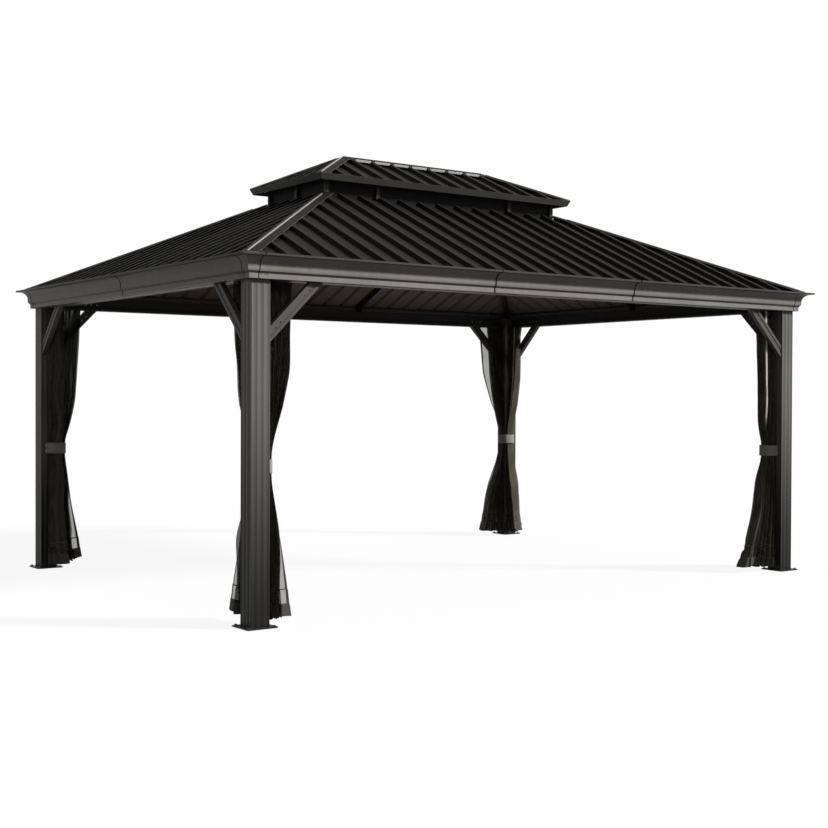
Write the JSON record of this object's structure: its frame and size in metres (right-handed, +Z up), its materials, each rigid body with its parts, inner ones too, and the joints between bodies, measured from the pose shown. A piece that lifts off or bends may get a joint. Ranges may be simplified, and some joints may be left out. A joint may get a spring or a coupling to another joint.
{
  "type": "hardtop gazebo",
  "caption": "Free-standing rectangular hardtop gazebo with a two-tier hipped ribbed metal roof, fluted corner posts, knee braces, moulded eaves and tied-back netting.",
  "frame": {"origin": "on the ground, under the centre of the roof", "axes": "+X along the long side, +Y from the front to the back, +Z up"},
  "size_m": [4.87, 3.59, 3.0531],
  "materials": {
    "post_paint": "satin dark brown-grey powder coat",
    "plate_paint": "satin dark grey powder coat",
    "fascia_paint": "satin dark brown-grey powder coat",
    "roof_paint": "low-sheen charcoal coil coat",
    "screen_sheet": "matt black perforated sheet",
    "netting_mesh": "fine dark polyester mesh",
    "tie_strap": "woven grey strap"
  },
  "bodies": {
    "root": {"back_beam": "post_paint", "back_fascia": "fascia_paint", "back_left_fascia_corner": "fascia_paint", "back_left_foot_plate": "plate_paint", "back_left_knee_braces": "post_paint", "back_left_netting": "netting_mesh", "back_left_post": "post_paint", "back_right_fascia_corner": "fascia_paint", "back_right_foot_plate": "plate_paint", "back_right_knee_braces": "post_paint", "back_right_netting": "netting_mesh", "back_right_post": "post_paint", "common_rafters": "post_paint", "front_beam": "post_paint", "front_fascia": "fascia_paint", "front_left_fascia_corner": "fascia_paint", "front_left_foot_plate": "plate_paint", "front_left_knee_braces": "post_paint", "front_left_netting": "netting_mesh", "front_left_post": "post_paint", "front_right_fascia_corner": "fascia_paint", "front_right_foot_plate": "plate_paint", "front_right_knee_braces": "post_paint", "front_right_netting": "netting_mesh", "front_right_post": "post_paint", "hip_rafters": "post_paint", "left_beam": "post_paint", "left_fascia": "fascia_paint", "lower_hip_caps": "roof_paint", "lower_roof_back": "roof_paint", "lower_roof_front": "roof_paint", "lower_roof_left": "roof_paint", "lower_roof_right": "roof_paint", "netting_ties": "tie_strap", "netting_tracks": "post_paint", "ridge_cap": "roof_paint", "right_beam": "post_paint", "right_fascia": "fascia_paint", "upper_eave_trim": "fascia_paint", "upper_hip_caps": "roof_paint", "upper_roof_back": "roof_paint", "upper_roof_frame": "post_paint", "upper_roof_front": "roof_paint", "upper_roof_left": "roof_paint", "upper_roof_right": "roof_paint", "vent_curb": "post_paint", "vent_screens": "screen_sheet", "vent_stub_posts": "post_paint"}
  },
  "joints": []
}
